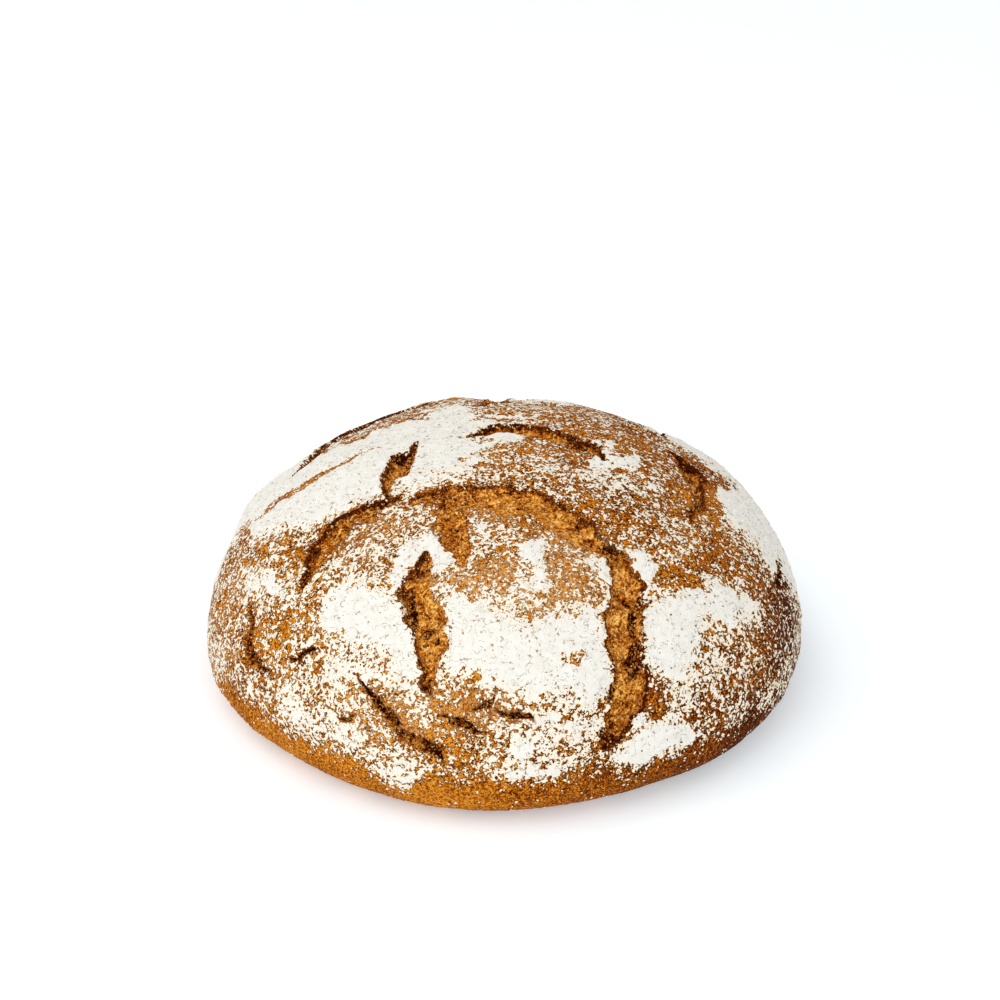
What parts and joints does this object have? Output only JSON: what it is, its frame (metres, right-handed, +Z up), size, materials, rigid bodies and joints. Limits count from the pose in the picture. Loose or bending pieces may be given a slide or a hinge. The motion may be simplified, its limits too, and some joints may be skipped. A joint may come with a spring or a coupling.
{
  "type": "rye bread loaf",
  "caption": "Round whole loaf of rye bread with a flat foot, a low domed floured crust and torn bursts; it stands by itself.",
  "frame": {"origin": "middle of the loaf's foot, on the surface that it stands on", "axes": "+Z up from the foot through the crown; +X to the loaf's right and +Y to its back, as the picture shows it"},
  "size_m": [0.2294, 0.2276, 0.0941],
  "materials": {
    "rye_crust": "matte baked crust, dusted with white flour"
  },
  "bodies": {
    "root": {"loaf": "rye_crust"}
  },
  "joints": []
}
